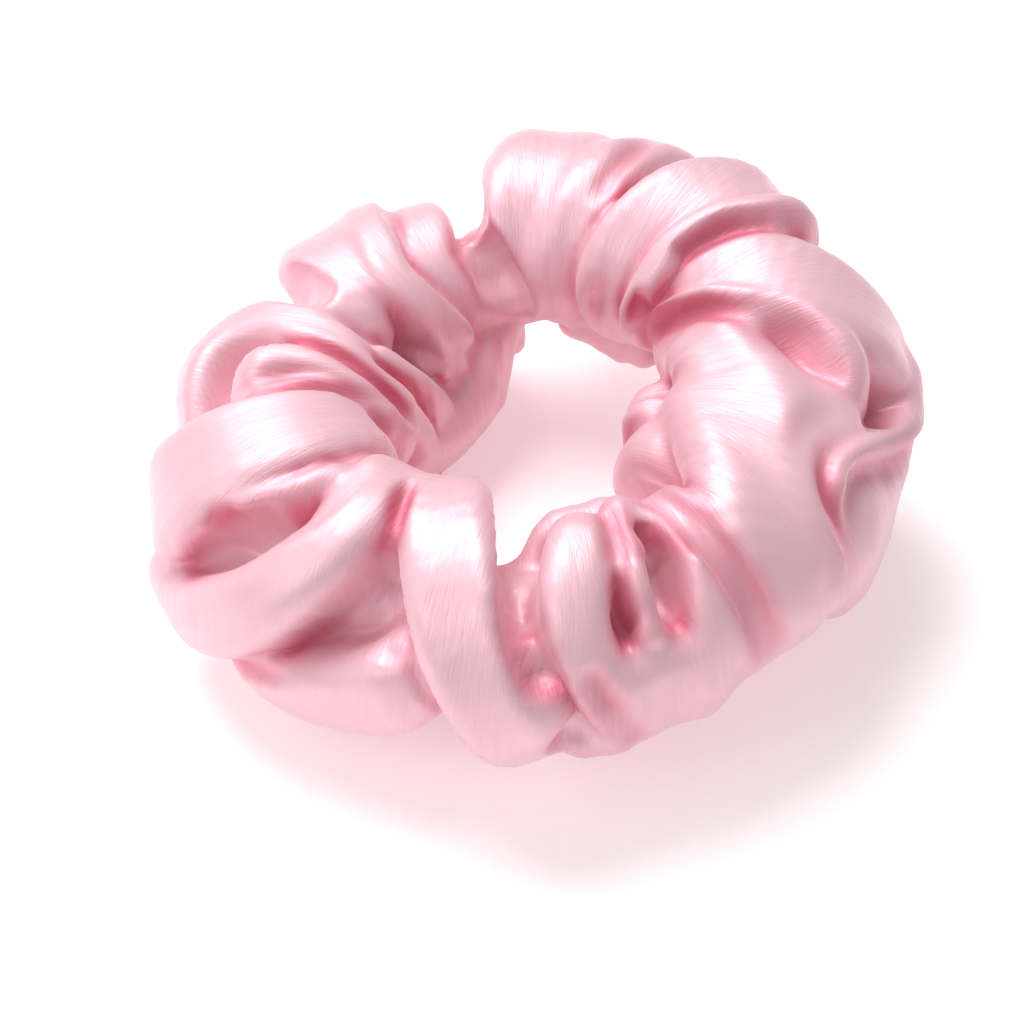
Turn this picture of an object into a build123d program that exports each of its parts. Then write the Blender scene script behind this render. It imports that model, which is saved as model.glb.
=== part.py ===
from build123d import *
import os
from math import cos, radians, sin

# ---------------------------------------------------------------------------
# A satin scrunchie: a tube of cloth, closed into a ring and gathered on an
# elastic loop. Millimetres, +Z up. The origin is on the floor, in the middle
# of the ring. The ring stretches along Y: its back half is y > 0.
# ---------------------------------------------------------------------------

# The gathered tube: a puffed oval, carried round the ring. Its foot is flat.
RING_RADIUS = 38.5
TUBE_WIDTH = 38.0
TUBE_HEIGHT = 44.0
FOOT_DEPTH = 0.6
TUBE_MIDDLE = TUBE_HEIGHT / 2 - FOOT_DEPTH

# Gathered satin lies in several layers, so the wall is thicker than one.
CLOTH_WALL = 1.6

# The halves of the tube part here, across the ring, by this much.
HALF_GAP = 0.3

# The seam allowance: two cloth edges, turned inside along the ring's outside.
ALLOWANCE_DEPTH = 7.0
ALLOWANCE_THICK = 0.8

# The braided elastic, a flat band sewn into a loop with its ends overlapped.
ELASTIC_RADIUS = 25.5
ELASTIC_WIDTH = 6.0
ELASTIC_THICK = 0.9
JOIN_ANGLE = 90.0
JOIN_OVERLAP = 28.0

# Sewing thread, and the loops that it makes through the cloth and the elastic.
THREAD = 0.4
JOIN_STITCH_COUNT = 5
JOIN_STITCH_HEIGHT = 4.4
JOIN_STITCH_SPAN = 18.0
SEAM_RADIUS = 54.4
SEAM_STITCH_LENGTH = 2.6
SEAM_STITCHES_PER_HALF = 45
SEAM_STITCH_SPACING = 180 / SEAM_STITCHES_PER_HALF

# The tube's two ends meet across the ring here, hand-sewn low on the side that
# faces the hole. Angles round the tube start at the ring's outside.
CLOSING_ANGLE = 148.0
CLOSING_STITCH_COUNT = 9
CLOSING_STITCH_LENGTH = 3.2
CLOSING_FIRST = 206.0
CLOSING_LAST = 252.0


def half_cover(turn):
    """Half of the gathered tube, from +X through a turn of 180 or -180 degrees.

    A hollow cloth wall with its seam allowance inside. It stops half the gap short of
    the other half, and rests on a flat foot at z = 0.
    """
    side = 1 if turn > 0 else -1
    outer_edge = RING_RADIUS + TUBE_WIDTH / 2
    with BuildPart() as half:
        with BuildSketch(Plane.XZ):
            with Locations((RING_RADIUS, TUBE_MIDDLE)):
                Ellipse(TUBE_WIDTH / 2, TUBE_HEIGHT / 2)
                Ellipse(TUBE_WIDTH / 2 - CLOTH_WALL, TUBE_HEIGHT / 2 - CLOTH_WALL, mode=Mode.SUBTRACT)
            with Locations((outer_edge - CLOTH_WALL / 2, TUBE_MIDDLE)):
                Rectangle(ALLOWANCE_DEPTH, ALLOWANCE_THICK, align=(Align.MAX, Align.CENTER))
        revolve(axis=Axis.Z, revolution_arc=turn)
        split(bisect_by=Plane.XY, keep=Keep.TOP)
        gap_plane = Plane.ZX.offset(side * HALF_GAP / 2)
        split(bisect_by=gap_plane, keep=Keep.TOP if turn > 0 else Keep.BOTTOM)
    return half.part


def seam_stitch():
    """One loop of the long seam's thread, at +X, through both cloth edges."""
    with BuildPart() as stitch:
        with BuildSketch(Plane.YZ.offset(SEAM_RADIUS - THREAD / 2)):
            with Locations((0, TUBE_MIDDLE)):
                Rectangle(SEAM_STITCH_LENGTH, ALLOWANCE_THICK + 2 * THREAD)
                Rectangle(SEAM_STITCH_LENGTH - 2 * THREAD, ALLOWANCE_THICK, mode=Mode.SUBTRACT)
        extrude(amount=THREAD)
    return stitch.part


def join_stitch():
    """One loop of thread, at +X, through both ends of the elastic where they overlap."""
    with BuildPart() as stitch:
        with BuildSketch(Plane.XZ.offset(-THREAD / 2)):
            with Locations((ELASTIC_RADIUS + ELASTIC_THICK / 2, TUBE_MIDDLE)):
                Rectangle(2 * ELASTIC_THICK + 2 * THREAD, JOIN_STITCH_HEIGHT)
                Rectangle(2 * ELASTIC_THICK, JOIN_STITCH_HEIGHT - 2 * THREAD, mode=Mode.SUBTRACT)
        extrude(amount=THREAD)
    return stitch.part


def closing_place(index):
    """Where one closing stitch lies: on the tube's surface, across the closing seam."""
    share = index / (CLOSING_STITCH_COUNT - 1)
    round_tube = radians(CLOSING_FIRST + (CLOSING_LAST - CLOSING_FIRST) * share)
    round_ring = radians(CLOSING_ANGLE)
    radius = RING_RADIUS + TUBE_WIDTH / 2 * cos(round_tube)
    height = TUBE_MIDDLE + TUBE_HEIGHT / 2 * sin(round_tube)
    along_tube = (-sin(round_ring), cos(round_ring), 0)
    return Plane(origin=(radius * cos(round_ring), radius * sin(round_ring), height), z_dir=along_tube)


# The satin tube, in two halves so that it can stretch.
with BuildPart() as satin_cover_back:
    add(half_cover(180))
satin_cover_back.part.label = "satin_cover_back"

with BuildPart() as satin_cover_front:
    add(half_cover(-180))
satin_cover_front.part.label = "satin_cover_front"

# The elastic band: a full loop, and the end that lies over it.
with BuildPart() as elastic_band:
    with BuildSketch(Plane.XZ):
        with Locations((ELASTIC_RADIUS, TUBE_MIDDLE)):
            Rectangle(ELASTIC_THICK, ELASTIC_WIDTH)
    revolve(axis=Axis.Z)
    with BuildSketch(Plane.XZ.rotated((0, 0, JOIN_ANGLE - JOIN_OVERLAP / 2))):
        with Locations((ELASTIC_RADIUS + ELASTIC_THICK, TUBE_MIDDLE)):
            Rectangle(ELASTIC_THICK, ELASTIC_WIDTH)
    revolve(axis=Axis.Z, revolution_arc=JOIN_OVERLAP)
elastic_band.part.label = "elastic_band"

# The thread that holds the elastic's two ends together.
with BuildPart() as elastic_join_stitches:
    with PolarLocations(
        0, JOIN_STITCH_COUNT, start_angle=JOIN_ANGLE - JOIN_STITCH_SPAN / 2,
        angular_range=JOIN_STITCH_SPAN, endpoint=True,
    ):
        add(join_stitch())
elastic_join_stitches.part.label = "elastic_join_stitches"

# The thread of the long seam, through the allowance, along each half.
with BuildPart() as long_seam_stitches_back:
    with PolarLocations(
        0, SEAM_STITCHES_PER_HALF, start_angle=SEAM_STITCH_SPACING / 2, angular_range=180
    ):
        add(seam_stitch())
long_seam_stitches_back.part.label = "long_seam_stitches_back"

with BuildPart() as long_seam_stitches_front:
    with PolarLocations(
        0, SEAM_STITCHES_PER_HALF, start_angle=180 + SEAM_STITCH_SPACING / 2, angular_range=180
    ):
        add(seam_stitch())
long_seam_stitches_front.part.label = "long_seam_stitches_front"

# The hand stitches that close the tube into a ring.
with BuildPart() as closing_seam_stitches:
    with Locations(*[closing_place(i) for i in range(CLOSING_STITCH_COUNT)]):
        Cylinder(THREAD / 2, CLOSING_STITCH_LENGTH)
closing_seam_stitches.part.label = "closing_seam_stitches"

os.makedirs("parts", exist_ok=True)
export_step(satin_cover_back.part, "parts/satin_cover_back.step")
export_step(satin_cover_front.part, "parts/satin_cover_front.step")
export_step(elastic_band.part, "parts/elastic_band.step")
export_step(elastic_join_stitches.part, "parts/elastic_join_stitches.step")
export_step(long_seam_stitches_back.part, "parts/long_seam_stitches_back.step")
export_step(long_seam_stitches_front.part, "parts/long_seam_stitches_front.step")
export_step(closing_seam_stitches.part, "parts/closing_seam_stitches.step")
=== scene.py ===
import logging
from dataclasses import dataclass, field
from enum import Enum
from math import cos, pi, radians, sin, tau

import bpy
import numpy as np
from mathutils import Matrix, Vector


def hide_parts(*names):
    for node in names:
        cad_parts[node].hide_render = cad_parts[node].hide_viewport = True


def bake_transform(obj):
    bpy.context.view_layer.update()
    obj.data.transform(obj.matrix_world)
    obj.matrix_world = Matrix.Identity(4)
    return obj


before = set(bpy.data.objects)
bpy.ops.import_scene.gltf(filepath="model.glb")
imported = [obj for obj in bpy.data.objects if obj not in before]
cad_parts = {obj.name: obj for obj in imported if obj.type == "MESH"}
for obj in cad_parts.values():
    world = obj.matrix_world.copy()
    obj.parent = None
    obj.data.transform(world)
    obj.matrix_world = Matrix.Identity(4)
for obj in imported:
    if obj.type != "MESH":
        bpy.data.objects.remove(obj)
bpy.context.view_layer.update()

MM = 0.001
LOG = logging.getLogger("scrunchie")


# ---------------------------------------------------------------------------
# The ring that the cloth is gathered on
# ---------------------------------------------------------------------------
@dataclass(frozen=True)
class PuffedRing:
    """The satin tube's middle line and its oval, before any fold.

    Each station is (radius of the middle from the ring's axis, height of the middle,
    half width, half height), in millimetres, at equal steps round the ring from +X.
    The back right of the ring stands clear of the floor and the front left lies on it.
    """

    stations: tuple[tuple[float, float, float, float], ...] = (
        (36.5, 26.0, 20.0, 19.0),
        (39.5, 28.5, 19.0, 19.0),
        (39.5, 29.5, 18.0, 18.5),
        (39.5, 29.0, 16.5, 17.0),
        (41.5, 27.0, 15.0, 16.0),
        (38.5, 20.8, 14.5, 16.4),
        (36.6, 18.8, 17.6, 18.6),
        (35.5, 18.0, 18.6, 17.8),
        (36.5, 18.8, 19.5, 19.0),
        (38.0, 19.4, 19.5, 20.0),
        (37.5, 19.0, 18.5, 19.6),
        (36.0, 18.8, 18.0, 19.4),
        (37.5, 19.0, 18.5, 19.6),
        (36.5, 19.4, 17.0, 20.0),
        (38.0, 20.6, 17.5, 19.8),
        (36.0, 23.0, 19.0, 19.0),
    )

    def station(self, turn: np.ndarray) -> np.ndarray:
        """The four station values at angles round the ring, on a smooth closed curve.

        Args:
            turn: Angles round the ring, in radians.

        Returns:
            An array with a last axis of four, in millimetres.
        """
        table = np.array(self.stations)
        count = len(table)
        place = (np.asarray(turn) % tau) / tau * count
        index = np.floor(place).astype(int)
        t = (place - index)[..., None]
        before, here, after, later = (table[(index + k) % count] for k in (-1, 0, 1, 2))
        bend = 2 * before - 5 * here + 4 * after - later
        twist = -before + 3 * here - 3 * after + later
        return 0.5 * (2 * here + (after - before) * t + bend * t**2 + twist * t**3)

    def surface(self, turn: np.ndarray, roll: np.ndarray, grow: float = 0.0) -> np.ndarray:
        """Points of the oval tube.

        Args:
            turn: Angles round the ring, in radians.
            roll: Angles round the tube, in radians, from its outside over its top.
            grow: How far the oval is pushed outwards, in millimetres.

        Returns:
            Points in millimetres.
        """
        radius, height, wide, tall = np.moveaxis(self.station(turn), -1, 0)
        reach = radius + (wide + grow) * np.cos(roll)
        rise = height + (tall + grow) * np.sin(roll)
        return np.stack([reach * np.cos(turn), reach * np.sin(turn), rise], -1)

    def outward(self, turn: np.ndarray, roll: np.ndarray) -> np.ndarray:
        """Unit vectors that point out of the oval tube.

        Args:
            turn: Angles round the ring, in radians.
            roll: Angles round the tube, in radians.

        Returns:
            The vectors, with a last axis of three.
        """
        _, _, wide, tall = np.moveaxis(self.station(turn), -1, 0)
        flat = np.cos(roll) / wide
        up = np.sin(roll) / tall
        size = np.hypot(flat, up)
        return np.stack([flat * np.cos(turn), flat * np.sin(turn), up], -1) / size[..., None]


class Lay(Enum):
    """How a fold changes the cloth round it."""

    RAISED = "raised"
    SUNK = "sunk"


@dataclass(frozen=True)
class Fold:
    """A soft roll or flat band of gathered cloth that lies along the tube's surface.

    Attributes:
        name: What the fold is.
        path: Points (angle round the ring, angle round the tube), in degrees, and a
            third number where the fold is raised there, in millimetres.
        width: Half width, in millimetres.
        edge: Radius of the band's rounded edges, in millimetres.
        rise: How far its middle stands over the core, in millimetres.
        tilt: Degrees that its left edge is raised, as seen walking along the path.
        taper: Share of each end over which it sinks and narrows.
        soft: How softly it runs into the cloth round it, in millimetres.
        lay: Whether it stands up from the cloth or is pressed into it.
    """

    name: str
    path: tuple[tuple[float, ...], ...]
    width: float
    edge: float
    rise: float
    tilt: float = 0.0
    taper: float = 0.25
    soft: float = 0.6
    lay: Lay = Lay.RAISED


# How the folds are laid. Lengths are in millimetres.
STEP = 3.0  # longest straight piece of a fold's middle line
FOLD_FOOT = 5.0  # how far inside the oval a fold's foot lies
CORE_INSET = 8.5  # how far inside the oval the core's skin lies
RING_RADIUS, TUBE_RADIUS = 38.0, 19.0  # usual radii, which turn a path's angles into lengths
RAISED_END_DROP, SUNK_END_RISE = 2.0, 3.0  # how far past level the two kinds of fold end
END_WIDTH = 0.6  # share of its width that a fold keeps at its ends
MARGIN = 4.0  # how far past its width a fold still acts on the cloth
TINY = 1e-6  # keeps a division away from zero


@dataclass
class FoldedCloth:
    """The shape of the gathered satin: a core and the folds that lie over it."""

    ring: PuffedRing
    folds: tuple[Fold, ...]
    strands: list[dict[str, np.ndarray]] = field(default_factory=list)

    def __post_init__(self) -> None:
        """Works out each fold's middle line and frame in space."""
        self.strands = [self.strand(fold) for fold in self.folds]

    def strand(self, fold: Fold) -> dict[str, np.ndarray]:
        """A fold's middle line as short straight pieces, each with its own frame.

        Args:
            fold: The fold.

        Returns:
            Arrays of starts, ends, and frames of the pieces, and sizes at both ends.
        """
        control = np.array([(*point, 0.0)[:3] for point in fold.path], float)
        control[:, :2] = np.unwrap(np.radians(control[:, :2]), axis=0)
        control = np.vstack([2 * control[0] - control[1], control, 2 * control[-1] - control[-2]])
        fine = []
        for i in range(1, len(control) - 2):
            a, b, c, d = control[i - 1 : i + 3]
            span = np.hypot(*((c - b)[:2] * np.array([RING_RADIUS, TUBE_RADIUS])))
            count = max(2, int(np.ceil(span / STEP)))
            for t in np.arange(count) / count:
                bend = 2 * a - 5 * b + 4 * c - d
                fine.append(0.5 * (2 * b + (c - a) * t + bend * t**2 + (3 * b - 3 * c + d - a) * t**3))
        fine.append(control[-2])
        turn, roll, lift = np.array(fine).T
        out = self.ring.outward(turn, roll)
        share = np.linspace(0, 1, len(fine))
        ease = np.clip(np.minimum(share, 1 - share) / max(fold.taper, 1e-3), 0, 1)
        ease = ease * ease * (3 - 2 * ease)
        rise = fold.rise + lift
        if fold.lay is Lay.RAISED:
            height = rise - fold.edge - (1 - ease) * (rise + RAISED_END_DROP)
        else:
            height = rise + (1 - ease) * SUNK_END_RISE
        middle = self.ring.surface(turn, roll, -FOLD_FOOT) + out * height[:, None]
        width = np.maximum(fold.width * (END_WIDTH + (1 - END_WIDTH) * ease) - fold.edge, 0.01)
        along = np.gradient(middle, axis=0)
        along /= np.linalg.norm(along, axis=1)[:, None]
        side = np.cross(out, along)
        side /= np.linalg.norm(side, axis=1)[:, None]
        up = np.cross(along, side)
        lean = radians(fold.tilt)
        flat = side * cos(lean) + up * sin(lean)
        return {
            "start": middle[:-1], "end": middle[1:], "flat": (flat[:-1] + flat[1:]) / 2,
            "width": (width[:-1] + width[1:]) / 2, "edge": np.array(fold.edge),
            "reach": np.array(fold.width + MARGIN), "soft": np.array(fold.soft),
            "sunk": np.array(fold.lay is Lay.SUNK),
        }

    def core(self, points: np.ndarray) -> tuple[np.ndarray, np.ndarray]:
        """Signed distance to the core under the folds, and the way out of it.

        Args:
            points: Places in millimetres.

        Returns:
            Distances in millimetres, and unit vectors.
        """
        turn = np.arctan2(points[:, 1], points[:, 0])
        radius, height, wide, tall = self.ring.station(turn).T
        across = np.hypot(points[:, 0], points[:, 1]) - radius
        rise = points[:, 2] - height
        wide = wide - CORE_INSET
        tall = tall - CORE_INSET
        ratio = np.maximum(np.hypot(across / wide, rise / tall), TINY)
        flat, up = across / wide**2, rise / tall**2
        slope = np.maximum(np.hypot(flat, up), TINY)
        way = np.stack([flat * np.cos(turn), flat * np.sin(turn), up], -1) / slope[:, None]
        return (ratio - 1) * ratio / slope, way

    def distance(self, points: np.ndarray) -> tuple[np.ndarray, np.ndarray]:
        """Signed distance from points to the folded cloth, and the way out of it.

        Args:
            points: Places in millimetres.

        Returns:
            Distances in millimetres, and unit vectors.
        """
        total, way = self.core(points)
        for strand in self.strands:
            low = strand["start"].min(0) - strand["reach"]
            high = strand["start"].max(0) + strand["reach"]
            near = np.flatnonzero(np.all((points > low) & (points < high), axis=1))
            if len(near) == 0:
                continue
            one, toward = self.strand_distance(points[near], strand)
            sign = -1.0 if strand["sunk"] else 1.0
            one, toward = one * sign, toward * sign
            two = total[near]
            soft = strand["soft"]
            blend = np.clip(0.5 + sign * 0.5 * (two - one) / soft, 0, 1)
            total[near] = two + (one - two) * blend - sign * soft * blend * (1 - blend)
            way[near] += (toward - way[near]) * blend[:, None]
        return total, way / np.maximum(np.linalg.norm(way, axis=1, keepdims=True), TINY)

    @staticmethod
    def strand_distance(
        points: np.ndarray, strand: dict[str, np.ndarray]
    ) -> tuple[np.ndarray, np.ndarray]:
        """Signed distance from points to one fold, and the way out of it.

        Args:
            points: Places in millimetres.
            strand: The fold, as strand() gives it.

        Returns:
            Distances in millimetres, and unit vectors.
        """
        best = np.full(len(points), 1e3)
        way = np.zeros_like(points)
        for a, b, flat, width in zip(strand["start"], strand["end"], strand["flat"], strand["width"]):
            line = b - a
            gap = points - a
            t = np.clip(gap @ line / max(line @ line, 1e-9), 0, 1)
            rest = gap - t[:, None] * line
            across = rest @ flat
            rest -= np.clip(across, -width, width)[:, None] * flat
            size = np.sqrt((rest * rest).sum(1))
            closer = size < best
            best[closer] = size[closer]
            way[closer] = rest[closer]
        return best - strand["edge"], way / np.maximum(best, TINY)[:, None]


# ---------------------------------------------------------------------------
# The folds, laid one by one
# ---------------------------------------------------------------------------
FOLDS: tuple[Fold, ...] = (
    # back: the puff over the back of the ring and the long bands beside it
    Fold("back dome", (
        (70, -100), (74, -50), (78, 0), (82, 30), (84, 60), (87, 100), (90, 150), (86, 195), (82, 235)
    ), 10.5, 6.0, 7.4, soft=2.0),
    Fold("back ridge", (
        (50, -90), (55, -45), (60, 0), (64, 36), (68, 66), (73, 104), (79, 152), (78, 180), (69, 206),
        (60, 235)
    ), 5.2, 3.0, 7.2, soft=3.0),
    Fold("over band", (
        (56, -95, -5), (53, -45, -5), (46, 5, -5.5), (41, 40, -3.5), (41, 68, -1), (47, 96), (52, 124),
        (55, 158), (54, 192), (46, 228)
    ), 7.4, 3.0, 7.6, -10),
    Fold("over lip", (
        (34, 24, -5), (30, 48, -3), (30, 72), (35, 98), (40, 124), (41, 152), (41, 176), (38, 205)
    ), 2.4, 1.5, 8.6, soft=0.5),
    Fold("under band", (
        (18, -95), (12, -45), (8, 6), (8, 36), (11, 64), (18, 97), (27, 132), (36, 165), (42, 195)
    ), 8.6, 3.6, 6.0, -6),
    Fold("under lip", (
        (348, 22), (352, 44), (358, 66), (6, 98), (18, 130), (32, 162), (42, 190)
    ), 2.4, 1.5, 7.6, soft=0.5),
    # right: the big smooth limb, its inner bulges and the thin rolled seam edge
    Fold("limb root", ((34, 184), (24, 160), (10, 136), (356, 118), (342, 108)), 7.5, 5.0, 5.6, soft=2.0),
    Fold("right limb", (
        (8, 148, -3), (352, 122, -1), (336, 102), (322, 80), (313, 50), (310, 14), (312, -30)
    ), 10.5, 5.5, 6.4, soft=1.5),
    Fold("right limb outer", (
        (2, 84, -4), (350, 74, -2), (338, 58), (328, 24), (322, -10)
    ), 8.0, 5.0, 5.6, soft=2.5),
    Fold("inner upper bulge", ((12, 188), (2, 184), (352, 178), (346, 160)), 6.5, 4.5, 7.4, soft=1.5),
    Fold("inner round bulge", ((342, 206), (337, 184), (332, 160), (327, 130)), 5.0, 4.0, 8.0, soft=1.0),
    Fold("seam roll", (
        (16, 34), (8, 20), (358, 14), (350, 24), (342, 40), (335, 52), (328, 52), (323, 38), (320, 16),
        (317, -6)
    ), 2.3, 2.0, 7.6, taper=0.15, soft=0.9),
    Fold("seam cloth", (
        (12, -20), (2, -14), (350, -8), (338, 4), (328, -4), (322, -24)
    ), 9.0, 5.0, 5.2, soft=2.5),
    # front right: gathers that fan out from the inner edge
    Fold("front puff", ((272, -8), (280, 4), (288, 12), (297, 10), (305, -4)), 8.0, 5.0, 6.4, soft=2.5),
    Fold("front dome", (
        (286, 128), (282, 98), (277, 68), (277, 40), (282, 12), (288, -20)
    ), 5.4, 4.0, 7.2),
    Fold("first gather", (
        (293, 132), (291, 102), (290, 72), (289, 42), (288, 12)
    ), 2.4, 1.8, 7.0, soft=0.9),
    Fold("second gather", (
        (302, 130), (301, 102), (300, 68), (299, 34), (296, 4), (293, -25)
    ), 4.0, 2.4, 7.4, soft=0.9),
    Fold("gather root", (
        (306, 142), (296, 138), (286, 138), (276, 138), (268, 140)
    ), 4.0, 3.0, 4.8, soft=2.0),
    # front: the twisted band
    Fold("twisted band", (
        (230, 156), (241, 124), (252, 86), (259, 50), (265, 20), (272, -6), (282, -30)
    ), 7.2, 3.2, 8.2, 8, soft=0.6),
    Fold("piping", (
        (274, 50), (276, 36), (279, 16), (283, -6), (284, -26)
    ), 1.6, 1.3, 7.6, soft=0.5, taper=0.45),
    # front left: panel, leaf and roll
    Fold("left panel", (
        (188, 160), (199, 124), (202, 86), (201, 50), (197, 14), (194, -20)
    ), 10.0, 4.5, 6.8, 2),
    Fold("panel lip", (
        (220, 130), (222, 104), (220, 80), (215, 52), (209, 26), (201, -2)
    ), 2.0, 1.4, 7.2),
    Fold("left roll", (
        (222, 146), (231, 108), (232, 80), (230, 54), (225, 28), (217, 4), (208, -12), (199, -16),
        (191, -6)
    ), 6.2, 3.8, 7.8, taper=0.15),
    Fold("lower puff", (
        (208, -38), (220, -30), (234, -16), (248, 6), (254, 34)
    ), 7.0, 4.5, 5.8, soft=1.5),
    # left: arch and its layers
    Fold("left arch", (
        (190, 6), (178, 26), (165, 46), (161, 76), (167, 108), (176, 140), (181, 174), (184, 205)
    ), 4.6, 2.8, 7.4),
    Fold("left layer", (
        (186, 56), (180, 74), (176, 94), (178, 118), (184, 142), (189, 172)
    ), 2.8, 1.6, 7.0),
    Fold("left under", ((189, 60), (187, 90), (187, 120), (191, 150)), 3.0, 2.2, 4.4, soft=1.5),
    # back left: facets and the nested inner folds
    Fold("back left facet", (
        (136, -95), (129, -50), (126, 0), (132, 40), (141, 76), (150, 100), (157, 124), (160, 150)
    ), 8.0, 4.5, 6.8),
    Fold("back left ridge", (
        (124, -85), (117, -40), (118, 10), (123, 50), (130, 88), (134, 116), (124, 150), (110, 188),
        (100, 215)
    ), 3.4, 1.8, 8.2, soft=1.2),
    Fold("back inner facet", (
        (100, -95), (106, -45), (112, 5), (113, 50), (115, 86), (119, 116), (112, 150), (101, 190),
        (94, 220)
    ), 5.0, 3.0, 5.4, soft=1.2),
    Fold("nested fold", ((154, 100), (161, 122), (156, 148), (142, 178), (126, 206)), 2.8, 1.6, 6.6),
    Fold("nested under", ((168, 108), (173, 132), (171, 158), (162, 188), (150, 214)), 2.8, 1.6, 6.6),
    Fold("nested low", ((136, 150), (122, 178), (112, 200), (104, 225)), 3.6, 2.0, 5.8),
    Fold("inner left bulge", (
        (178, 204), (158, 204), (138, 206, 3), (120, 206, 5), (104, 206, 4), (92, 210)
    ), 7.5, 5.0, 6.6, soft=1.5),
)


def pocket(name: str, path: tuple[tuple[float, ...], ...], size: float, level: float,
           soft: float = 1.0, taper: float = 0.3) -> Fold:
    """A hollow or crease pressed into the cloth.

    Args:
        name: What it is.
        path: Points as in a fold.
        size: Its radius, in millimetres.
        level: How high its middle line lies, in millimetres.
        soft: How softly its rim is rounded.
        taper: Share of each end over which it fades.

    Returns:
        The sunk fold.
    """
    return Fold(name, path, size, size, level, 0.0, taper, soft, Lay.SUNK)


POCKETS: tuple[Fold, ...] = (
    pocket("front valley", (
        (267, 108), (267, 84), (268, 56), (271, 32), (275, 8), (280, -12)
    ), 2.8, 4.4, 0.6, 0.15),
    pocket("first gather pocket", ((288, 112), (287, 86), (284, 62)), 1.9, 6.6, 0.8),
    pocket("second gather pocket", ((296, 112), (295, 84), (293, 56), (291, 30)), 2.5, 6.2, 0.8),
    pocket("limb crease", (
        (300, 134), (300, 106), (302, 76), (304, 48), (306, 18), (309, -14)
    ), 2.2, 6.2, 0.9, 0.15),
    pocket("leaf", ((226, 96), (224, 72), (219, 48), (212, 24)), 3.8, 8.0, 2.0),
    pocket("roll crease", (
        (207, -26), (219, -18), (231, 0), (236, 20), (239, 38), (246, 50)
    ), 1.3, 5.2, 0.5, 0.15),
    pocket("roll pocket", ((240, 46), (244, 37), (250, 30)), 2.6, 4.4, 0.6),
    pocket("arch pocket", ((187, 30), (189, 56), (190, 84), (189, 110), (190, 142)), 1.8, 5.8, 0.6, 0.15),
    pocket("arch inner crease", (
        (170, 60), (170, 84), (173, 110), (181, 142), (186, 170)
    ), 1.3, 6.4, 0.8),
    pocket("neck pocket", (
        (105, -10), (105, 24), (105, 60), (104, 104), (102, 134), (97, 170)
    ), 3.6, 4.4, 1.0, 0.15),
    pocket("left notch", ((149, -10), (149, 24), (150, 54), (152, 84)), 3.6, 4.6, 1.2, 0.2),
    pocket("facet crease", ((142, 104), (146, 124), (138, 146), (126, 168)), 1.6, 6.4, 0.9),
    pocket("nested crease", ((164, 118), (166, 138), (158, 160), (150, 176)), 1.6, 6.2, 0.8),
    pocket("over slot", ((25, 56), (28, 84), (34, 114), (38, 142), (39, 172)), 1.5, 6.6, 0.5, 0.2),
    pocket("under slot", (
        (346, 44), (351, 62), (0, 92), (12, 124), (28, 158), (38, 186)
    ), 1.7, 6.2, 0.6, 0.2),
    pocket("ridge valley", ((66, 44), (68, 70), (70, 100), (73, 134)), 1.8, 7.4, 1.0),
    pocket("dome crease", ((60, 150), (62, 176), (60, 204)), 1.2, 7.0, 1.2),
    pocket("bulge crease", ((342, 140), (344, 166), (348, 192)), 1.6, 7.4, 1.2),
    pocket("piping slot", ((277, 40), (281, 18), (285, -4), (287, -20)), 1.1, 6.6, 0.4, 0.15),
    pocket("band crease", ((236, 112), (243, 76), (248, 48), (254, 20), (261, -6)), 1.2, 6.4, 0.4, 0.15),
    pocket("seam inner line", (
        (10, 32), (352, 34), (343, 50), (333, 61), (326, 54), (324, 30), (320, -4)
    ), 1.3, 6.8, 0.6, 0.15),
    pocket("seam outer line", (
        (2, 2), (352, 10), (342, 30), (333, 44), (327, 34), (325, 12)
    ), 1.8, 6.6, 1.2),
    pocket("limb dimple", ((8, 112), (0, 94), (353, 74), (349, 58)), 3.2, 7.8, 3.0, 0.4),
    pocket("seam hollow", ((352, 44), (342, 64), (333, 70), (326, 66)), 3.2, 8.8, 2.5),
)


HIDDEN_STEP = 10.0  # degrees round the ring between hidden folds


def hidden_folds(seed: int = 7) -> tuple[Fold, ...]:
    """The folds under the ring and round its outside, which fall at random.

    Args:
        seed: Fixes where they fall.

    Returns:
        The folds, each running from the outside of the ring, under it, to the hole.
    """
    chance = np.random.default_rng(seed)
    folds = []
    for index, turn in enumerate(np.arange(0, 360, HIDDEN_STEP)):
        back = 20 < turn < 170
        start = chance.uniform(-50, 10) if back else chance.uniform(-85, -60)
        drift = chance.uniform(-9, 9, 5).cumsum() * 0.7
        roll = np.linspace(start, chance.uniform(-175, -140), 5)
        path = tuple((turn + d, r) for d, r in zip(drift, roll))
        width = chance.uniform(2.6, 5.0)
        rise = chance.uniform(4.4, 6.2) if back else chance.uniform(3.8, 5.2)
        folds.append(Fold(f"hidden fold {index}", path, width, width * chance.uniform(0.5, 0.75), rise,
                          chance.uniform(-18, 18), taper=0.4, soft=1.0))
    return tuple(folds)


CLOSING_TURN = 148.5  # where round the ring the tube's two ends meet, in degrees
# The flat cloth, in metres. Its length is fitted to the area of the folds made here.
FLAT_WIDTH, FLAT_LENGTH = 0.125, 0.37


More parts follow.
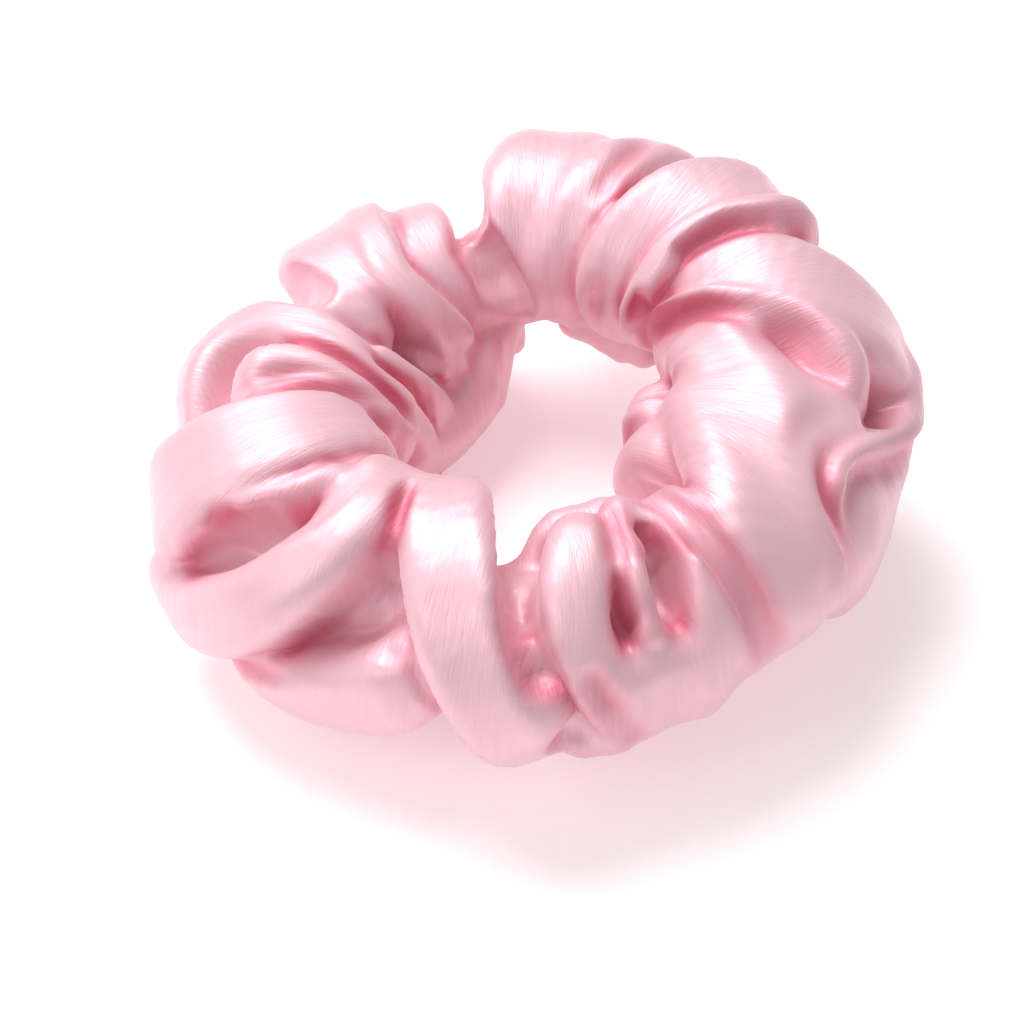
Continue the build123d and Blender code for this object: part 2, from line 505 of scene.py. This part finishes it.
@dataclass
class SatinCover:
    """The pink satin tube: one closed sheet of cloth, gathered round the ring.

    Its columns start at the closing seam and its rows start at the long seam, on the
    ring's outside.
    """

    finish: bpy.types.Material
    name: str = "satin_cover"
    around_ring: int = 320
    around_tube: int = 150
    thickness: float = 0.35
    drop_from: float = 5.0
    drop_steps: int = 22
    drop_share: float = 0.85
    drop_limit: float = 1.0
    settle_steps: int = 16
    settle_share: float = 0.5
    settle_limit: float = 0.5
    smooth_steps: int = 3
    smooth_out: float = 0.55
    smooth_back: float = 0.45
    floor_gap: float = 0.15
    gather_height: float = 0.2
    crease_reach: float = 2.6
    allowance: float = 6.0
    slack: int = 6
    ring: PuffedRing = field(default_factory=PuffedRing)
    points: np.ndarray = field(default_factory=lambda: np.zeros((0, 0, 3)))

    def build(self) -> bpy.types.Object:
        """Builds the folded cloth and the seam allowance inside it.

        Returns:
            The cover's object.
        """
        cloth = FoldedCloth(self.ring, FOLDS + hidden_folds() + POCKETS)
        turn, roll = np.meshgrid(
            radians(CLOSING_TURN) + np.arange(self.around_ring) / self.around_ring * tau,
            np.arange(self.around_tube) / self.around_tube * tau, indexing="ij")
        points = self.drop(cloth, turn.ravel(), roll.ravel())
        points = self.settle(cloth, points.reshape(self.around_ring, self.around_tube, 3))
        points = self.small_gathers(points, turn, roll)
        points = self.smooth(points)
        points[..., 2] = np.maximum(points[..., 2], self.floor_gap)
        self.points = points
        cover = sheet_object(self.name, points * MM, True, self.finish)
        # the crease mask drives the painted shade in the satin's colour
        self.mark_crease_shade(cover, cloth)
        wall = cover.modifiers.new("wall", "SOLIDIFY")
        wall.thickness = self.thickness * MM
        wall.offset = -1.0
        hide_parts("satin_cover_back", "satin_cover_front")
        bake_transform(cover)
        self.build_allowance()
        LOG.info("%s: %d points", self.name, len(cover.data.vertices))
        return cover

    def drop(self, cloth: FoldedCloth, turn: np.ndarray, roll: np.ndarray) -> np.ndarray:
        """Brings points in from outside, straight towards the core, until they meet cloth.

        Args:
            cloth: The folded cloth.
            turn: Each point's angle round the ring.
            roll: Each point's angle round the tube.

        Returns:
            The points where they came to rest, in millimetres.
        """
        out = self.ring.outward(turn, roll)
        points = self.ring.surface(turn, roll, self.drop_from)
        for _ in range(self.drop_steps):
            gap, _ = cloth.distance(points)
            fall = np.clip(gap, -self.drop_limit, self.drop_limit) * self.drop_share
            points = points - out * fall[:, None]
        return points

    def settle(self, cloth: FoldedCloth, points: np.ndarray) -> np.ndarray:
        """Spreads the points evenly over the folds, keeping them on the cloth.

        Args:
            cloth: The folded cloth.
            points: The grid of points.

        Returns:
            The settled grid.
        """
        for _ in range(self.settle_steps):
            points = points + (neighbours(points) - points) * self.settle_share
            gap, way = cloth.distance(points.reshape(-1, 3))
            back = np.clip(gap, -self.settle_limit, self.settle_limit)
            points = points - (way * back[:, None]).reshape(points.shape)
        return points

    def smooth(self, points: np.ndarray) -> np.ndarray:
        """Takes out small roughness with little shrinking of the folds.

        Args:
            points: The grid of points.

        Returns:
            The smoothed grid.
        """
        for _ in range(self.smooth_steps):
            points = points + (neighbours(points) - points) * self.smooth_out
            points = points - (neighbours(points) - points) * self.smooth_back
        return points

    def small_gathers(self, points: np.ndarray, turn: np.ndarray, roll: np.ndarray) -> np.ndarray:
        """Adds the small soft gathers that run round the tube, strongest near the hole.

        Args:
            points: The settled grid.
            turn: Each point's angle round the ring.
            roll: Each point's angle round the tube.

        Returns:
            The grid with its gathers.
        """
        chance = np.random.default_rng(11)
        wave = np.zeros_like(turn)
        for count in (23, 31, 41, 57, 73):
            phase, sway = chance.uniform(0, tau, 2)
            bend = 1.1 * np.sin(roll * 2 + sway) + 0.6 * np.sin(roll * 3 + turn * 2 + phase)
            patch = 0.5 + 0.5 * np.sin(turn * chance.integers(2, 6) + roll * chance.integers(1, 4) + phase)
            wave += (1 - 2 * np.abs(np.sin(count / 2 * turn + bend + phase))) * patch**2 * 23 / count
        hole = 0.35 + 0.65 * (0.5 - 0.5 * np.cos(roll)) ** 2
        return points + grid_normals(points) * (wave * hole * self.gather_height)[..., None]

    def mark_crease_shade(self, cover: bpy.types.Object, cloth: FoldedCloth) -> None:
        """Stores how far in a crease each point lies, from 0 in the open to 1: the mask that puts painted
        shade into the satin's colour.

        Args:
            cover: The cover's object.
            cloth: The folded cloth.
        """
        places = self.points + grid_normals(self.points) * self.crease_reach
        gap, _ = cloth.distance(places.reshape(-1, 3))
        depth = np.clip(1 - gap / self.crease_reach, 0, 1)
        for _ in range(2):
            grid = depth.reshape(self.around_ring, self.around_tube, 1)
            depth = (0.4 * grid + 0.6 * neighbours(grid)).ravel()
        layer = cover.data.attributes.new("crease", "FLOAT", "POINT")
        layer.data.foreach_set("value", depth)

    def seam_point(self, depth: float) -> tuple[np.ndarray, np.ndarray]:
        """The long seam's line, pulled into the tube.

        Args:
            depth: How far inside the cloth, in millimetres.

        Returns:
            The line's points and the unit vectors that point inwards there.
        """
        line = self.points[:, 0]
        turn = np.arctan2(line[:, 1], line[:, 0])
        radius, height, _, _ = self.ring.station(turn).T
        middle = np.stack([radius * np.cos(turn), radius * np.sin(turn), height], -1)
        reach = np.linalg.norm(line - middle, axis=1)
        reach = np.min([np.roll(reach, shift) for shift in range(-self.slack, self.slack + 1)], axis=0)
        outward = np.stack([np.cos(turn), np.sin(turn), 0 * turn], -1)
        for _ in range(self.slack):
            reach = (np.roll(reach, 1) + 2 * reach + np.roll(reach, -1)) / 4
            outward = (np.roll(outward, 1, 0) + 2 * outward + np.roll(outward, -1, 0)) / 4
        return middle + outward * (reach - depth)[:, None], -outward

    def build_allowance(self) -> None:
        """Builds the two turned-in edges of the long seam, which stand inside the tube."""
        rows = [self.seam_point(0.6 + depth)[0] for depth in np.linspace(0, self.allowance, 5)]
        strip = sheet_object("seam_allowance", np.stack(rows, 1) * MM, False, self.finish)
        wall = strip.modifiers.new("two layers", "SOLIDIFY")
        wall.thickness = 2 * self.thickness * MM
        wall.offset = 0.0
        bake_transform(strip)


def neighbours(grid: np.ndarray) -> np.ndarray:
    """The mean of each grid point's four neighbours, on a grid closed both ways.

    Args:
        grid: The grid, with a last axis of values.

    Returns:
        A grid of the same shape.
    """
    return (np.roll(grid, 1, 0) + np.roll(grid, -1, 0) + np.roll(grid, 1, 1) + np.roll(grid, -1, 1)) / 4


def grid_normals(grid: np.ndarray) -> np.ndarray:
    """Unit vectors out of a closed grid of points.

    Args:
        grid: The grid of points.

    Returns:
        A grid of the same shape.
    """
    along = np.roll(grid, -1, 0) - np.roll(grid, 1, 0)
    across = np.roll(grid, -1, 1) - np.roll(grid, 1, 1)
    normal = np.cross(along, across)
    return normal / np.maximum(np.linalg.norm(normal, axis=-1, keepdims=True), 1e-9)


def sheet_object(
    name: str, points: np.ndarray, closed: bool, material: bpy.types.Material
) -> bpy.types.Object:
    """Makes a mesh from a grid of points that is closed round the ring.

    Args:
        name: The object's name.
        points: Grid of points, in metres: round the ring, then across.
        closed: Whether the grid is closed across as well.
        material: Its material.

    Returns:
        The object, with its cloth coordinates in the UV map "cloth".
    """
    rings, tubes, _ = points.shape
    last = tubes if closed else tubes - 1
    faces, spots = [], []
    for i in range(rings):
        for j in range(last):
            corners = ((i, j), (i + 1, j), (i + 1, j + 1), (i, j + 1))
            faces.append(tuple(a % rings * tubes + b % tubes for a, b in corners))
            spots.extend((a / rings, b / last) for a, b in corners)
    mesh = bpy.data.meshes.new(name)
    mesh.from_pydata(points.reshape(-1, 3).tolist(), [], faces)
    mesh.polygons.foreach_set("use_smooth", [True] * len(faces))
    mesh.uv_layers.new(name="cloth").data.foreach_set("uv", np.array(spots).ravel())
    mesh.materials.append(material)
    made = bpy.data.objects.new(name, mesh)
    bpy.context.collection.objects.link(made)
    return made


# ---------------------------------------------------------------------------
# Thread and elastic
# ---------------------------------------------------------------------------
@dataclass(frozen=True)
class ThreadLoop:
    """One stitch: a long oval loop of thread that goes through the cloth and back."""

    length: float
    depth: float
    thread: float
    steps: int = 12
    sides: int = 5

    def build(self) -> bpy.types.Object:
        """Builds the loop, lying along X with its depth along Z.

        Returns:
            The loop, not yet in the scene.
        """
        centre = np.arange(self.steps) / self.steps * tau
        line = np.stack([self.length / 2 * np.cos(centre), 0 * centre, self.depth / 2 * np.sin(centre)], -1)
        out = np.stack([np.cos(centre), 0 * centre, np.sin(centre)], -1)
        section = np.arange(self.sides) / self.sides * tau
        points = line[:, None] + self.thread * (
            out[:, None] * np.cos(section)[:, None] + np.array([0.0, 1.0, 0.0]) * np.sin(section)[:, None])
        faces = [
            (i * self.sides + j, i * self.sides + (j + 1) % self.sides,
             (i + 1) % self.steps * self.sides + (j + 1) % self.sides, (i + 1) % self.steps * self.sides + j)
            for i in range(self.steps) for j in range(self.sides)
        ]
        return pattern_object("stitch", points.reshape(-1, 3), faces)


@dataclass(frozen=True)
class ElasticRib:
    """One rib of the knitted elastic: a soft bar across the band."""

    height: float
    wide: float
    thick: float
    sides: int = 8

    def build(self) -> bpy.types.Object:
        """Builds the bar, standing along Z.

        Returns:
            The bar, not yet in the scene.
        """
        levels = ((-0.5, 0.25), (-0.46, 0.8), (-0.3, 1.0), (0.3, 1.0), (0.46, 0.8), (0.5, 0.25))
        turn = np.arange(self.sides) / self.sides * tau
        points = [
            (self.wide / 2 * size * cos(a), self.thick / 2 * size * sin(a), level * self.height)
            for level, size in levels for a in turn
        ]
        faces = [
            (i * self.sides + j, i * self.sides + (j + 1) % self.sides,
             (i + 1) * self.sides + (j + 1) % self.sides, (i + 1) * self.sides + j)
            for i in range(len(levels) - 1) for j in range(self.sides)
        ]
        faces.append(tuple(reversed(range(self.sides))))
        faces.append(tuple(range(len(points) - self.sides, len(points))))
        return pattern_object("rib", np.array(points), faces)


def pattern_object(name: str, points: np.ndarray, faces: list[tuple[int, ...]]) -> bpy.types.Object:
    """Makes an object for repeating, which isn't put in the scene itself.

    Args:
        name: Its name.
        points: Its corners, in millimetres.
        faces: Its faces, as numbers of corners.

    Returns:
        The object.
    """
    mesh = bpy.data.meshes.new(name)
    mesh.from_pydata((points * MM).tolist(), [], faces)
    mesh.polygons.foreach_set("use_smooth", [True] * len(faces))
    return bpy.data.objects.new(name, mesh)


@dataclass(frozen=True)
class Row:
    """A row of one small shape: its places and which way each one faces."""

    name: str
    places: np.ndarray
    along: np.ndarray
    up: np.ndarray
    wander: float = 0.0
    seed: int = 3

    def nodes(self) -> bpy.types.GeometryNodeTree:
        """Builds the geometry nodes that set the shape at each place.

        Returns:
            The node group.
        """
        tree = bpy.data.node_groups.new(f"{self.name} row", "GeometryNodeTree")
        face = tree.interface
        for name, kind in (("Geometry", "Geometry"), ("Shape", "Object"), ("Wander", "Float"),
                           ("Seed", "Int"), ("Material", "Material")):
            face.new_socket(name, in_out="INPUT", socket_type=f"NodeSocket{kind}")
        face.new_socket("Geometry", in_out="OUTPUT", socket_type="NodeSocketGeometry")
        make, link = tree.nodes.new, tree.links.new
        start, finish = make("NodeGroupInput"), make("NodeGroupOutput")
        shape = make("GeometryNodeObjectInfo")
        link(start.outputs["Shape"], shape.inputs["Object"])
        turned = None
        for attribute, axis in (("along", "X"), ("up", "Z")):
            read = make("GeometryNodeInputNamedAttribute")
            read.data_type = "FLOAT_VECTOR"
            read.inputs["Name"].default_value = attribute
            align = make("FunctionNodeAlignRotationToVector")
            align.axis = axis
            link(read.outputs["Attribute"], align.inputs["Vector"])
            if turned is not None:
                align.pivot_axis = "X"
                link(turned.outputs["Rotation"], align.inputs["Rotation"])
            turned = align
        chance = make("FunctionNodeRandomValue")
        chance.data_type = "FLOAT"
        link(start.outputs["Seed"], chance.inputs["Seed"])
        sway = make("ShaderNodeMath")
        sway.operation = "MULTIPLY_ADD"
        link(chance.outputs["Value"], sway.inputs[0])
        link(start.outputs["Wander"], sway.inputs[1])
        sway.inputs[2].default_value = 0.0
        euler = make("FunctionNodeAxisAngleToRotation")
        euler.inputs["Axis"].default_value = (0, 0, 1)
        link(sway.outputs["Value"], euler.inputs["Angle"])
        rotate = make("FunctionNodeRotateRotation")
        rotate.rotation_space = "LOCAL"
        link(turned.outputs["Rotation"], rotate.inputs["Rotation"])
        link(euler.outputs["Rotation"], rotate.inputs["Rotate By"])
        place = make("GeometryNodeInstanceOnPoints")
        link(start.outputs["Geometry"], place.inputs["Points"])
        link(shape.outputs["Geometry"], place.inputs["Instance"])
        link(rotate.outputs["Rotation"], place.inputs["Rotation"])
        real = make("GeometryNodeRealizeInstances")
        link(place.outputs["Instances"], real.inputs["Geometry"])
        dress = make("GeometryNodeSetMaterial")
        link(real.outputs["Geometry"], dress.inputs["Geometry"])
        link(start.outputs["Material"], dress.inputs["Material"])
        link(dress.outputs["Geometry"], finish.inputs["Geometry"])
        return tree

    def build(self, shape: bpy.types.Object, material: bpy.types.Material) -> bpy.types.Object:
        """Sets the shape at each place and makes one plain mesh.

        Args:
            shape: The shape that is repeated.
            material: Its material.

        Returns:
            The finished object.
        """
        mesh = bpy.data.meshes.new(f"{self.name} places")
        mesh.from_pydata((self.places * MM).tolist(), [], [])
        for attribute, values in (("along", self.along), ("up", self.up)):
            layer = mesh.attributes.new(attribute, "FLOAT_VECTOR", "POINT")
            layer.data.foreach_set("vector", np.ascontiguousarray(values).ravel())
        made = bpy.data.objects.new(self.name, mesh)
        bpy.context.collection.objects.link(made)
        tree = self.nodes()
        modifier = made.modifiers.new("row", "NODES")
        modifier.node_group = tree
        values = {"Shape": shape, "Wander": self.wander, "Seed": self.seed, "Material": material}
        for item in tree.interface.items_tree:
            if item.in_out == "INPUT" and item.name in values:
                modifier[item.identifier] = values[item.name]
        bpy.context.view_layer.update()
        plain = bpy.data.meshes.new_from_object(made.evaluated_get(bpy.context.evaluated_depsgraph_get()))
        made.modifiers.remove(modifier)
        made.data = plain
        plain.name = self.name
        LOG.info("%s: %d places, %d points", self.name, len(self.places), len(plain.vertices))
        return made


@dataclass
class ElasticBand:
    """The knitted elastic loop inside the tube and the thread that joins its ends."""

    finish: bpy.types.Material
    thread: bpy.types.Material
    ring: PuffedRing = field(default_factory=PuffedRing)
    height: float = 6.0
    thick: float = 0.9
    rib_pitch: float = 1.1
    overlap: float = 28.0
    join_turn: float = 90.0
    clearance: float = 2.5
    layer_gap: float = 1.1
    join_count: int = 5
    join_half: float = 9.0
    steps: int = 240

    def line(self, turn: np.ndarray, spread: float = 0.5) -> np.ndarray:
        """The band's middle line, one end lying outside the other where they overlap.

        Args:
            turn: Degrees round the ring, from the start of the band.
            spread: Half the gap between the two layers, as a share of the thickness.

        Returns:
            Points in millimetres.
        """
        whole = 360 + self.overlap
        angle = np.radians(turn + self.join_turn - self.overlap / 2)
        radius, height, wide, _ = self.ring.station(angle).T
        layer = (turn / whole * 2 - 1) * spread * self.thick * self.layer_gap
        reach = radius - (wide - CORE_INSET - self.clearance) + layer
        return np.stack([reach * np.cos(angle), reach * np.sin(angle), height], -1)

    def frames(self, turn: np.ndarray) -> tuple[np.ndarray, np.ndarray, np.ndarray]:
        """Places on the band, and unit vectors along it and up its face.

        Args:
            turn: Degrees round the ring, from the start of the band.

        Returns:
            Places in millimetres, and the two sets of vectors.
        """
        places = self.line(turn)
        along = self.line(turn + 0.5) - self.line(turn - 0.5)
        along /= np.linalg.norm(along, axis=1, keepdims=True)
        up = np.tile(np.array([0.0, 0.0, 1.0]), (len(turn), 1))
        up -= along * (along * up).sum(1, keepdims=True)
        return places, along, up / np.linalg.norm(up, axis=1, keepdims=True)

    def build(self) -> None:
        """Builds the band, its ribs and the join's stitches."""
        whole = 360 + self.overlap
        length = np.linalg.norm(np.diff(self.line(np.linspace(0, whole, self.steps)), axis=0), axis=1).sum()
        turns = np.linspace(0, whole, int(length / self.rib_pitch))
        places, along, up = self.frames(turns)
        rib = ElasticRib(self.height, self.rib_pitch * 1.12, self.thick).build()
        ribs = Row("elastic_band", places, along, up).build(rib, self.finish)
        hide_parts("elastic_band")
        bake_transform(ribs)
        middle = 360 + self.overlap / 2 + np.linspace(-self.join_half, self.join_half, self.join_count)
        places, along, up = self.frames(middle)
        places = places - np.cross(along, up) * self.thick * 0.5
        loop = ThreadLoop(4.4, 2 * self.thick + 0.5, 0.16).build()
        side = np.cross(up, along)
        stitches = Row("elastic_join_stitches", places, up, side, 0.2).build(loop, self.thread)
        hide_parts("elastic_join_stitches")
        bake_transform(stitches)


@dataclass
class Seams:
    """The stitches of the tube's long seam and of the seam that closes it."""

    cover: SatinCover
    thread: bpy.types.Material
    long_count: int = 90
    closing_count: int = 9
    closing_start: float = 214.0
    closing_end: float = 252.0

    def build(self) -> None:
        """Builds both rows of stitches."""
        line, inward = self.cover.seam_point(2.4)
        along = np.roll(line, -1, 0) - np.roll(line, 1, 0)
        along /= np.linalg.norm(along, axis=1, keepdims=True)
        index = (np.arange(self.long_count) * len(line) / self.long_count).astype(int)
        through = np.cross(along, inward)
        loop = ThreadLoop(2.6, 1.1, 0.14).build()
        self.finish(Row("long_seam_stitches", line[index], along[index], through[index], 0.1), loop,
                    "long_seam_stitches_back", "long_seam_stitches_front")
        grid = self.cover.points
        tubes = grid.shape[1]
        roll = np.linspace(self.closing_start, self.closing_end, self.closing_count)
        index = np.round(roll / 360 * tubes).astype(int)
        normal = grid_normals(grid)[0, index]
        along = (grid[1] - grid[-1])[index]
        along /= np.linalg.norm(along, axis=1, keepdims=True)
        loop = ThreadLoop(3.2, 0.7, 0.2).build()
        self.finish(Row("closing_seam_stitches", grid[0, index] + normal * 0.05, along, normal, 0.25), loop,
                    "closing_seam_stitches")

    def finish(self, row: Row, loop: bpy.types.Object, *nodes: str) -> None:
        """Builds one row and hides the pieces that it stands for.

        Args:
            row: The row.
            loop: The stitch that it repeats.
            nodes: Names of the pieces that it stands for.
        """
        made = row.build(loop, self.thread)
        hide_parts(*nodes)
        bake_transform(made)


# ---------------------------------------------------------------------------
# Finishes
# ---------------------------------------------------------------------------
def fine_threads() -> bpy.types.ShaderNodeTree:
    """Shader nodes for fine uneven threads, which every cloth and thread here shows.

    Returns:
        A group that puts out a bumped normal and a streak value from 0 to 1.
    """
    tree = bpy.data.node_groups.new("fine threads", "ShaderNodeTree")
    face = tree.interface
    for name, kind in (("Place", "Vector"), ("Counts", "Vector"), ("Depth", "Float")):
        face.new_socket(name, in_out="INPUT", socket_type=f"NodeSocket{kind}")
    face.new_socket("Normal", in_out="OUTPUT", socket_type="NodeSocketVector")
    face.new_socket("Streak", in_out="OUTPUT", socket_type="NodeSocketFloat")
    make, link = tree.nodes.new, tree.links.new
    start, finish = make("NodeGroupInput"), make("NodeGroupOutput")
    scale = make("ShaderNodeVectorMath")
    scale.operation = "MULTIPLY"
    link(start.outputs["Place"], scale.inputs[0])
    link(start.outputs["Counts"], scale.inputs[1])
    noises = []
    for size, detail in ((1.0, 2.0), (0.28, 1.0)):
        noise = make("ShaderNodeTexNoise")
        noise.inputs["Scale"].default_value = size
        noise.inputs["Detail"].default_value = detail
        noise.inputs["Roughness"].default_value = 0.5
        link(scale.outputs["Vector"], noise.inputs["Vector"])
        noises.append(noise)
    both = make("ShaderNodeMath")
    both.operation = "ADD"
    link(noises[0].outputs["Fac"], both.inputs[0])
    link(noises[1].outputs["Fac"], both.inputs[1])
    bump = make("ShaderNodeBump")
    bump.inputs["Strength"].default_value = 1.0
    link(both.outputs["Value"], bump.inputs["Height"])
    link(start.outputs["Depth"], bump.inputs["Distance"])
    link(bump.outputs["Normal"], finish.inputs["Normal"])
    link(noises[1].outputs["Fac"], finish.inputs["Streak"])
    return tree


def mix_colour(
    tree: bpy.types.ShaderNodeTree,
    share: bpy.types.NodeSocket,
    low: bpy.types.NodeSocket | tuple[float, ...],
    high: bpy.types.NodeSocket | tuple[float, ...],
) -> bpy.types.NodeSocket:
    """Adds a colour mix.

    Args:
        tree: The material's nodes.
        share: Where the share of the second colour comes from.
        low: A colour, or the socket that it comes from.
        high: A colour, or the socket that it comes from.

    Returns:
        The mixed colour's socket.
    """
    mix = tree.nodes.new("ShaderNodeMix")
    mix.data_type = "RGBA"
    tree.links.new(share, mix.inputs["Factor"])
    for socket, value in ((mix.inputs[6], low), (mix.inputs[7], high)):
        if isinstance(value, bpy.types.NodeSocket):
            tree.links.new(value, socket)
        else:
            socket.default_value = value
    return mix.outputs[2]


def spread(tree: bpy.types.ShaderNodeTree, value: bpy.types.NodeSocket, source: tuple[float, float],
           target: tuple[float, float]) -> bpy.types.NodeSocket:
    """Adds a smooth map from one range of values to another.

    Args:
        tree: The material's nodes.
        value: Where the value comes from.
        source: The range that it is in.
        target: The range that it is brought to.

    Returns:
        The new value's socket.
    """
    node = tree.nodes.new("ShaderNodeMapRange")
    node.interpolation_type = "SMOOTHSTEP"
    tree.links.new(value, node.inputs["Value"])
    for socket, number in zip(("From Min", "From Max", "To Min", "To Max"), source + target):
        node.inputs[socket].default_value = number
    return node.outputs["Result"]


@dataclass(frozen=True)
class SatinFinish:
    """Pale pink satin with fine crosswise threads, and painted shade in its creases, where its colour turns
    a darker, stronger pink.
    """

    pale: tuple[float, float, float, float] = (0.87, 0.54, 0.61, 1.0)
    # middle and the crease colour below are painted shade: darker pinks laid into the creases, where folds
    # shade the cloth and tint its light
    middle: tuple[float, float, float, float] = (0.83, 0.43, 0.51, 1.0)
    crease_shade: tuple[float, float, float, float] = (0.68, 0.16, 0.24, 1.0)
    thread_pitch: float = 0.32
    thread_run: float = 2.4
    bump_depth: float = 0.00007
    roughness: tuple[float, float] = (0.42, 0.54)

    def material(self, threads: bpy.types.ShaderNodeTree) -> bpy.types.Material:
        """Builds the satin material.

        Args:
            threads: The fine threads group.

        Returns:
            The material.
        """
        material = bpy.data.materials.new("satin")
        material.use_nodes = True
        tree = material.node_tree
        make, link = tree.nodes.new, tree.links.new
        shader = tree.nodes["Principled BSDF"]
        cloth = make("ShaderNodeUVMap")
        cloth.uv_map = "cloth"
        weave = make("ShaderNodeGroup")
        weave.node_tree = threads
        link(cloth.outputs["UV"], weave.inputs["Place"])
        weave.inputs["Counts"].default_value = (
            FLAT_LENGTH / MM / self.thread_pitch, FLAT_WIDTH / MM / self.thread_run, 1.0)
        weave.inputs["Depth"].default_value = self.bump_depth
        crease = make("ShaderNodeAttribute")
        crease.attribute_name = "crease"
        depth = crease.outputs["Fac"]
        # painted shade: the colour darkens from pale to middle, then to the crease colour, as the crease
        # mask grows
        lightly_shaded = mix_colour(tree, spread(tree, depth, (0.0, 0.35), (0.0, 1.0)), self.pale, self.middle)
        colour = mix_colour(tree, spread(tree, depth, (0.2, 0.8), (0.0, 1.0)), lightly_shaded, self.crease_shade)
        link(colour, shader.inputs["Base Color"])
        link(spread(tree, weave.outputs["Streak"], (0.3, 0.7), self.roughness), shader.inputs["Roughness"])
        link(weave.outputs["Normal"], shader.inputs["Normal"])
        grain = make("ShaderNodeTangent")
        grain.direction_type = "UV_MAP"
        grain.uv_map = "cloth"
        link(grain.outputs["Tangent"], shader.inputs["Tangent"])
        shader.inputs["Metallic"].default_value = 0.28
        shader.inputs["Specular IOR Level"].default_value = 0.6
        shader.inputs["Anisotropic"].default_value = 0.4
        shader.inputs["Sheen Weight"].default_value = 0.5
        shader.inputs["Sheen Roughness"].default_value = 0.4
        shader.inputs["Sheen Tint"].default_value = (1.0, 0.86, 0.9, 1.0)
        return material


@dataclass(frozen=True)
class YarnFinish:
    """Spun or knitted yarn: matt, with fine fibres."""

    name: str
    colour: tuple[float, float, float, float]
    shadow: tuple[float, float, float, float]
    counts: tuple[float, float, float]
    bump_depth: float = 0.00005
    roughness: float = 0.7

    def material(self, threads: bpy.types.ShaderNodeTree) -> bpy.types.Material:
        """Builds the yarn material.

        Args:
            threads: The fine threads group.

        Returns:
            The material.
        """
        material = bpy.data.materials.new(self.name)
        material.use_nodes = True
        tree = material.node_tree
        shader = tree.nodes["Principled BSDF"]
        place = tree.nodes.new("ShaderNodeTexCoord")
        weave = tree.nodes.new("ShaderNodeGroup")
        weave.node_tree = threads
        tree.links.new(place.outputs["Object"], weave.inputs["Place"])
        weave.inputs["Counts"].default_value = self.counts
        weave.inputs["Depth"].default_value = self.bump_depth
        colour = mix_colour(tree, weave.outputs["Streak"], self.shadow, self.colour)
        tree.links.new(colour, shader.inputs["Base Color"])
        tree.links.new(weave.outputs["Normal"], shader.inputs["Normal"])
        shader.inputs["Roughness"].default_value = self.roughness
        shader.inputs["Sheen Weight"].default_value = 0.3
        return material


@dataclass
class Studio:
    """The plain pale floor, the soft lights and the camera."""

    lens: float = 80.0
    distance: float = 0.345
    elevation: float = 45.0
    aim: tuple[float, float, float] = (-2.7, -6.1, 13.9)

    def camera(self) -> None:
        """Places the camera."""
        data = bpy.data.cameras.new("camera")
        data.lens = self.lens
        data.sensor_width = 36.0
        data.clip_start = 0.01
        camera = bpy.data.objects.new("camera", data)
        bpy.context.collection.objects.link(camera)
        tilt = radians(self.elevation)
        aim = Vector(self.aim) * MM
        camera.location = aim + Vector((0, -cos(tilt), sin(tilt))) * self.distance
        camera.rotation_euler = (pi / 2 - tilt, 0, 0)
        bpy.context.scene.camera = camera

    def floor(self) -> None:
        """Lays the floor."""
        bpy.ops.mesh.primitive_plane_add(size=6.0)
        floor = bpy.context.object
        floor.name = "floor"
        material = bpy.data.materials.new("floor")
        material.use_nodes = True
        shader = material.node_tree.nodes["Principled BSDF"]
        shader.inputs["Base Color"].default_value = (0.97, 0.94, 0.945, 1)
        shader.inputs["Roughness"].default_value = 0.7
        shader.inputs["Emission Color"].default_value = (1.0, 0.965, 0.97, 1)
        shader.inputs["Emission Strength"].default_value = 0.28
        floor.data.materials.append(material)

    def light(self, name: str, place: tuple[float, float, float], size: float, power: float) -> None:
        """Adds one square soft light aimed at the ring.

        Args:
            name: Its name.
            place: Where it stands, in metres.
            size: Its side, in metres.
            power: Its power, in watts.
        """
        data = bpy.data.lights.new(name, "AREA")
        data.size = size
        data.energy = power
        lamp = bpy.data.objects.new(name, data)
        lamp.location = place
        lamp.rotation_euler = (Vector((0, 0, 0.02)) - Vector(place)).to_track_quat("-Z", "Y").to_euler()
        bpy.context.collection.objects.link(lamp)

    def build(self) -> None:
        """Sets up the whole studio."""
        self.floor()
        self.camera()
        self.light("overhead", (-0.20, 0.25, 0.65), 0.45, 4.6)
        self.light("front left", (-0.45, -0.30, 0.45), 0.30, 0.8)
        world = bpy.data.worlds.new("studio")
        world.use_nodes = True
        world.node_tree.nodes["Background"].inputs["Color"].default_value = (1, 0.98, 0.98, 1)
        world.node_tree.nodes["Background"].inputs["Strength"].default_value = 0.46
        bpy.context.scene.world = world
        bpy.context.scene.view_settings.view_transform = "Standard"


def main() -> None:
    """Builds the scrunchie and the studio."""
    logging.basicConfig(level=logging.INFO, format="%(message)s")
    threads = fine_threads()
    satin = SatinFinish().material(threads)
    elastic = YarnFinish("elastic", (0.90, 0.88, 0.86, 1), (0.62, 0.60, 0.58, 1), (900, 900, 4000))
    thread = YarnFinish("thread", (0.86, 0.50, 0.56, 1), (0.62, 0.28, 0.34, 1), (2500, 2500, 6000))
    band_finish, stitch_finish = elastic.material(threads), thread.material(threads)
    cover = SatinCover(satin)
    cover.build()
    ElasticBand(band_finish, stitch_finish).build()
    Seams(cover, stitch_finish).build()
    Studio().build()


if __name__ == "__main__":
    main()
